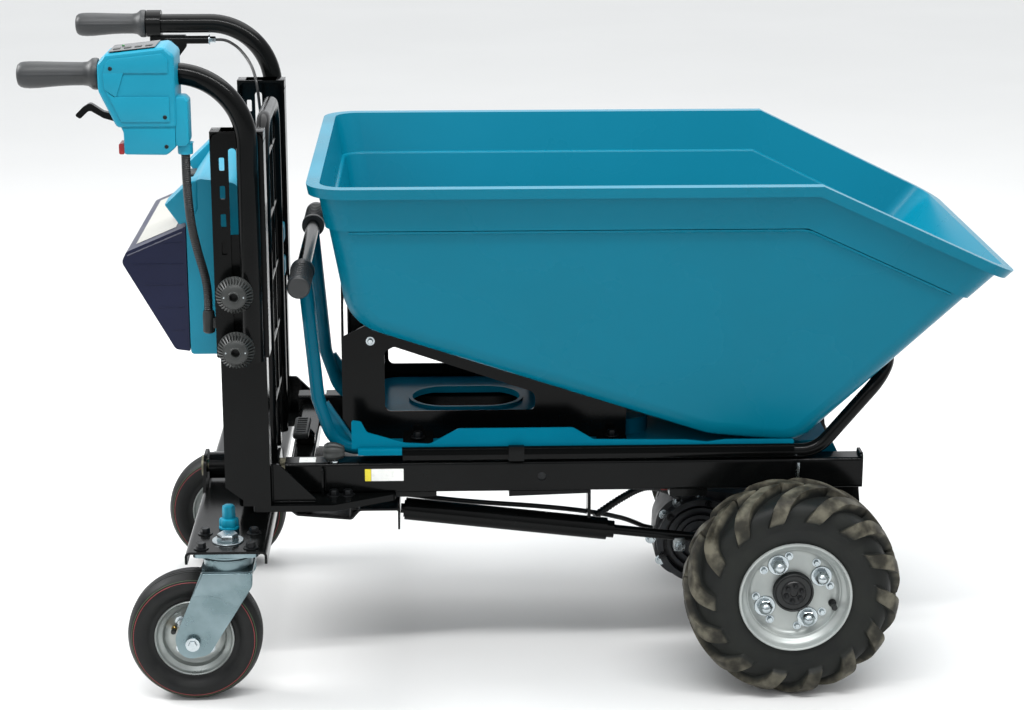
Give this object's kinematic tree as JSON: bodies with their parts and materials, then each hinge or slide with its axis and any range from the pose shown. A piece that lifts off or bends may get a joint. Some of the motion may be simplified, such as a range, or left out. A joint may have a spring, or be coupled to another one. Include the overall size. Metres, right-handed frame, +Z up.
{
  "type": "electric wheelbarrow",
  "caption": "battery electric wheelbarrow with a tipping moulded bucket, two driven front wheels, two rear castors and handles that adjust for height",
  "frame": {"origin": "on the ground, at the centre of the bounding box's bottom face", "axes": "+X forward over the bucket's lip, +Y to the machine's left, +Z up"},
  "size_m": [1.494, 0.706, 1.03],
  "materials": {
    "frame_black": "semi-gloss powder coat",
    "bed_teal": "gloss powder coat",
    "bucket_teal": "rotation moulded, satin gloss",
    "housing_teal": "injection moulded, semi-gloss",
    "lid_navy": "injection moulded, fine texture",
    "black_plastic": "moulded, fine grain",
    "red_plastic": "moulded",
    "rubber_black": "matt ribbed rubber",
    "tyre_rubber": "worn matt tread",
    "rim_silver": "silver paint",
    "zinc": "bright zinc plate",
    "cast_alloy": "as cast",
    "cable_sheath": "smooth sheath"
  },
  "bodies": {
    "chassis": {"rails": "frame_black", "cross_members": "frame_black", "masts": "frame_black", "mast_feet": "frame_black", "mast_tie": "frame_black", "castor_beam": "frame_black", "beam_pivot": "zinc", "castor_plates": "zinc", "lock_knobs": "housing_teal", "battery_housing": "housing_teal", "battery_packs": "black_plastic", "guard": "frame_black", "axle_housing": "frame_black", "axle_brackets": "frame_black", "gear_case": "black_plastic", "drive_motor": "cast_alloy", "stay_sleeve": "frame_black", "stay_rod": "frame_black", "under_tray": "frame_black", "hinge_brackets": "frame_black", "hinge_pin": "zinc", "clamp_knobs": "black_plastic", "bed_latch": "black_plastic", "motor_cable": "cable_sheath"},
    "handle": {"handle_sleeves": "frame_black", "handle_tubes": "frame_black", "handle_grips": "rubber_black", "control_box": "housing_teal", "control_switch": "red_plastic", "drive_lever": "frame_black", "brake_lever": "frame_black", "brake_bracket": "frame_black", "brake_cable": "cable_sheath", "conduit_gland": "black_plastic", "control_conduit": "cable_sheath"},
    "bed": {"bed_pan": "bed_teal", "bed_hoop": "frame_black", "bucket_bracket": "frame_black", "bucket": "bucket_teal", "dump_legs": "bed_teal", "dump_bar": "frame_black", "dump_grips": "rubber_black"},
    "lid": {"battery_lid": "lid_navy"},
    "castor_right": {"castor_fork_right": "zinc"},
    "castor_wheel_right": {"castor_tyre_right": "tyre_rubber", "castor_rim_right": "rim_silver"},
    "drive_wheel_right": {"drive_tyre_right": "tyre_rubber", "drive_rim_right": "rim_silver", "drive_hub_right": "black_plastic"},
    "castor_left": {"castor_fork_left": "zinc"},
    "castor_wheel_left": {"castor_tyre_left": "tyre_rubber", "castor_rim_left": "rim_silver"},
    "drive_wheel_left": {"drive_tyre_left": "tyre_rubber", "drive_rim_left": "rim_silver", "drive_hub_left": "black_plastic"}
  },
  "joints": [
    {"name": "handle_height", "type": "slide", "parent": "chassis", "child": "handle", "axis": [0, 0, 1], "range_m": [-0.15, 0]},
    {"name": "bed_tip", "type": "hinge", "parent": "chassis", "child": "bed", "pos_m": [0.525, 0, 0.262], "axis": [0, 1, 0], "range_deg": [0, 75]},
    {"name": "lid_open", "type": "hinge", "parent": "chassis", "child": "lid", "pos_m": [-0.521, 0, 0.531], "axis": [0, -1, 0], "range_deg": [0, 70]},
    {"name": "castor_swivel_right", "type": "hinge", "parent": "chassis", "child": "castor_right", "pos_m": [-0.463, -0.295, 0.22], "axis": [0, 0, 1], "continuous": true},
    {"name": "castor_roll_right", "type": "hinge", "parent": "castor_right", "child": "castor_wheel_right", "pos_m": [-0.518, -0.295, 0.105], "axis": [0, 1, 0], "continuous": true},
    {"name": "drive_roll_right", "type": "hinge", "parent": "chassis", "child": "drive_wheel_right", "pos_m": [0.417, -0.29, 0.17], "axis": [0, 1, 0], "continuous": true},
    {"name": "castor_swivel_left", "type": "hinge", "parent": "chassis", "child": "castor_left", "pos_m": [-0.463, 0.295, 0.22], "axis": [0, 0, 1], "continuous": true},
    {"name": "castor_roll_left", "type": "hinge", "parent": "castor_left", "child": "castor_wheel_left", "pos_m": [-0.518, 0.295, 0.105], "axis": [0, 1, 0], "continuous": true},
    {"name": "drive_roll_left", "type": "hinge", "parent": "chassis", "child": "drive_wheel_left", "pos_m": [0.417, 0.29, 0.17], "axis": [0, 1, 0], "continuous": true}
  ]
}
